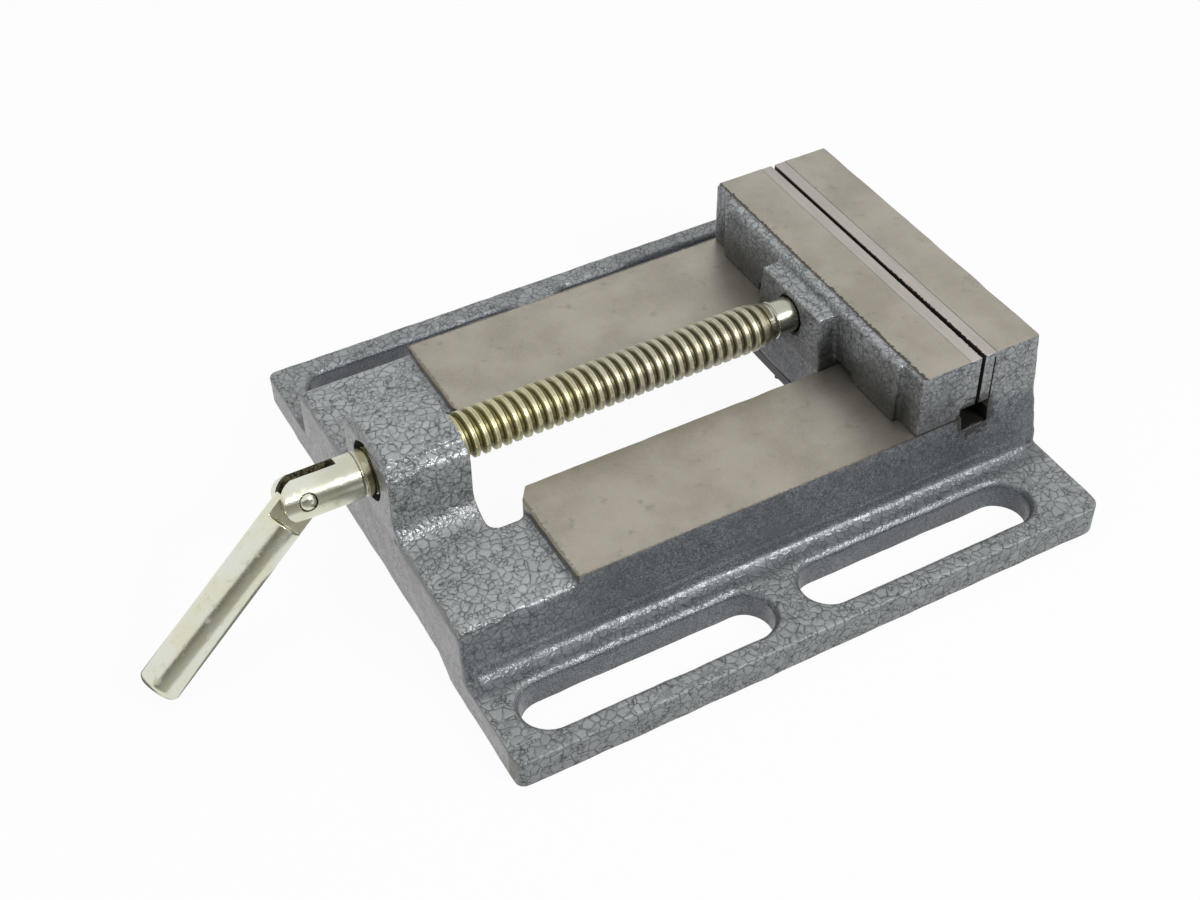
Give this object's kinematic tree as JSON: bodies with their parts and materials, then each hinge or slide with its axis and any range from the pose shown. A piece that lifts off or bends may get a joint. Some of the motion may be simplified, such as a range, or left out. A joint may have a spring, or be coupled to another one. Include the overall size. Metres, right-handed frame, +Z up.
{
  "type": "drill press vise",
  "caption": "Low drill press vise: slotted cast base with rails, sliding jaw driven by a trapezoidal lead screw, folding bar handle.",
  "frame": {"origin": "on the underside of the flanges, which lies on the table, midway between the four hold-down slots", "axes": "+X along the lead screw from the handle to the fixed jaw, +Y to the far side, +Z up from the table"},
  "size_m": [0.2418, 0.1606, 0.048],
  "materials": {
    "painted_casting": "grey-blue hammertone paint on cast iron, with bare machined rails and jaw tops",
    "ground_plate": "ground steel",
    "yellow_zinc": "yellow passivated zinc plate, slightly oily",
    "bright_zinc": "bright zinc plate with a faint cream tint",
    "dark_fastener": "black oxide"
  },
  "bodies": {
    "base": {"base_casting": "painted_casting", "fixed_jaw_plate": "ground_plate", "fixed_plate_screw_near": "dark_fastener", "fixed_plate_screw_far": "dark_fastener"},
    "sliding_jaw": {"moving_jaw": "painted_casting", "moving_jaw_plate": "ground_plate", "moving_plate_screw_near": "dark_fastener", "moving_plate_screw_far": "dark_fastener", "screw_stop_pin": "dark_fastener", "keeper_plate": "dark_fastener", "keeper_bolt_near": "dark_fastener", "keeper_bolt_far": "dark_fastener", "keeper_washer_near": "bright_zinc", "keeper_washer_far": "bright_zinc"},
    "screw": {"lead_screw": "yellow_zinc", "handle_pin": "bright_zinc"},
    "handle": {"handle_bar": "bright_zinc"}
  },
  "joints": [
    {"name": "jaw_slide", "type": "slide", "parent": "base", "child": "sliding_jaw", "axis": [-1, 0, 0], "range_m": [-0.00115, 0.093]},
    {"name": "screw_turn", "type": "hinge", "parent": "sliding_jaw", "child": "screw", "pos_m": [0, 0, 0.037], "axis": [-1, 0, 0], "range_deg": [-138.1, 11160.5]},
    {"name": "handle_swing", "type": "hinge", "parent": "screw", "child": "handle", "pos_m": [-0.101, 0, 0.037], "axis": [0, 0.9272, -0.3746], "range_deg": [-54, 126]}
  ],
  "couplings": [
    {"joint": "screw_turn", "follows": "jaw_slide", "rad_per_m": 2094.4}
  ]
}
